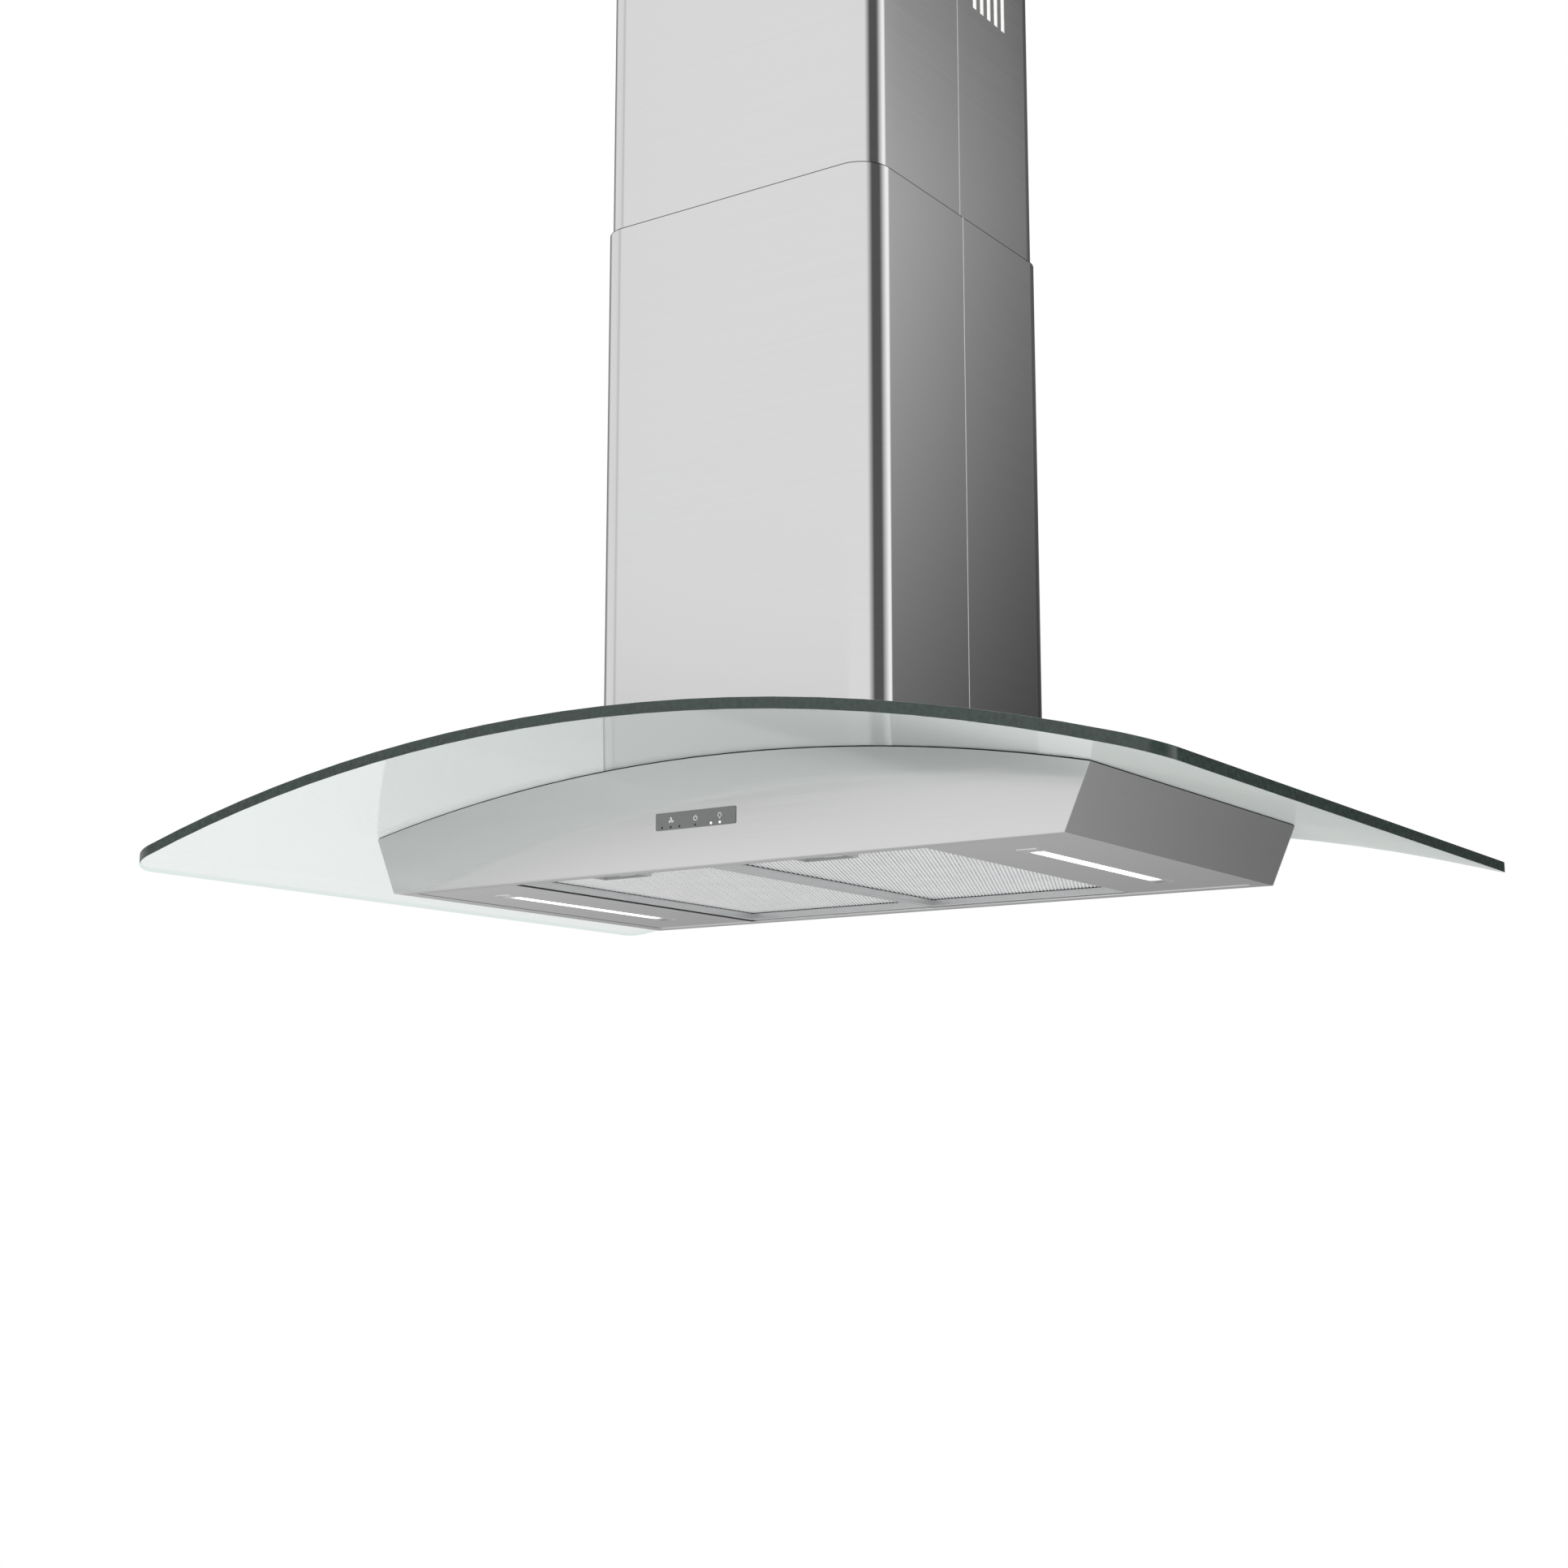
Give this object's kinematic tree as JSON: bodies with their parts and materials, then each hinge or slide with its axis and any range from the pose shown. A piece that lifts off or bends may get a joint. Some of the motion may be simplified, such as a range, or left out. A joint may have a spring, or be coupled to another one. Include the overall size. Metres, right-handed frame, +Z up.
{
  "type": "island range hood",
  "caption": "Ceiling-hung island range hood with a curved glass canopy, telescopic square chimney, end lamps and drop-down grease filters.",
  "frame": {"origin": "centre of the ceiling bracket's top face, where it meets the ceiling", "axes": "+Z up into the ceiling, +Y from the control face to the back, +X to the right seen from the front"},
  "size_m": [0.9, 0.67, 0.9],
  "materials": {
    "stainless": "brushed",
    "galvanised": "satin",
    "fasteners": "satin",
    "clear_glass": "polished",
    "black_rubber": "matt",
    "grey_plastic": "matt",
    "black_plastic": "matt",
    "white_plastic": "matt",
    "frosted_lamp": "frosted",
    "circuit_board": "satin",
    "fascia": "satin",
    "dot_lit": "glowing",
    "dot_dark": "gloss",
    "motor_steel": "satin",
    "filter_aluminium": "satin"
  },
  "bodies": {
    "ceiling": {"ceiling_bracket": "galvanised", "upper_legs": "galvanised", "upper_ties": "galvanised", "upper_cover_front": "stainless", "upper_cover_rear": "stainless", "air_diverter": "white_plastic", "diverter_spigot": "black_plastic", "diverter_hangers": "galvanised", "upper_screws": "fasteners"},
    "hood": {"lower_legs": "galvanised", "lower_ties": "galvanised", "frame_bolts": "fasteners", "frame_base": "galvanised", "base_seal": "black_rubber", "lower_cover_front": "stainless", "lower_cover_rear": "stainless", "glass_canopy": "clear_glass", "glass_gasket": "black_rubber", "chassis_plate": "stainless", "front_panel": "stainless", "rear_panel": "stainless", "end_panel_left": "stainless", "end_panel_right": "stainless", "light_panel_left": "stainless", "light_panel_right": "stainless", "lamp_bezel_left": "stainless", "lamp_bezel_right": "stainless", "lamp_diffuser_left": "frosted_lamp", "lamp_diffuser_right": "frosted_lamp", "led_boards": "circuit_board", "lamp_housings": "galvanised", "control_fascia": "fascia", "control_board": "circuit_board", "indicators_lit": "dot_lit", "indicators_dark": "dot_dark", "airbox_shell": "galvanised", "airbox_cover": "galvanised", "scroll_front": "black_plastic", "scroll_rear": "black_plastic", "motor": "motor_steel", "motor_bracket": "galvanised", "capacitor": "white_plastic", "duct_collar": "black_plastic", "damper_pin": "fasteners", "wiring_box": "galvanised", "driver_box": "white_plastic", "hood_screws": "fasteners"},
    "impeller": {"impeller_wheel": "black_plastic", "motor_shaft": "fasteners"},
    "damper_left": {"damper_flap_left": "grey_plastic"},
    "damper_right": {"damper_flap_right": "grey_plastic"},
    "filter_left": {"filter_frame_left": "filter_aluminium", "filter_mesh_left": "filter_aluminium", "latch_cup_left": "grey_plastic"},
    "filter_right": {"filter_frame_right": "filter_aluminium", "filter_mesh_right": "filter_aluminium", "latch_cup_right": "grey_plastic"},
    "latch_left": {"latch_slider_left": "fasteners"},
    "latch_right": {"latch_slider_right": "fasteners"}
  },
  "joints": [
    {"name": "height_slide", "type": "slide", "parent": "ceiling", "child": "hood", "axis": [0, 0, 1], "range_m": [-0.04, 0.24]},
    {"name": "impeller_spin", "type": "hinge", "parent": "hood", "child": "impeller", "pos_m": [-0.008, 0, -0.696], "axis": [0, 1, 0], "continuous": true},
    {"name": "damper_left_swing", "type": "hinge", "parent": "hood", "child": "damper_left", "pos_m": [0, 0, -0.525], "axis": [0, 1, 0], "range_deg": [0, 78]},
    {"name": "damper_right_swing", "type": "hinge", "parent": "hood", "child": "damper_right", "pos_m": [0, 0, -0.525], "axis": [0, -1, 0], "range_deg": [0, 78]},
    {"name": "filter_left_drop", "type": "hinge", "parent": "hood", "child": "filter_left", "pos_m": [-0.095, 0.1615, -0.8965], "axis": [1, 0, 0], "range_deg": [0, 70]},
    {"name": "filter_right_drop", "type": "hinge", "parent": "hood", "child": "filter_right", "pos_m": [0.095, 0.1615, -0.8965], "axis": [1, 0, 0], "range_deg": [0, 70]},
    {"name": "latch_left_pull", "type": "slide", "parent": "filter_left", "child": "latch_left", "axis": [0, 1, 0], "range_m": [0, 0.006], "stiffness_N_per_m": 300, "springref_m": -0.005},
    {"name": "latch_right_pull", "type": "slide", "parent": "filter_right", "child": "latch_right", "axis": [0, 1, 0], "range_m": [0, 0.006], "stiffness_N_per_m": 300, "springref_m": -0.005}
  ]
}
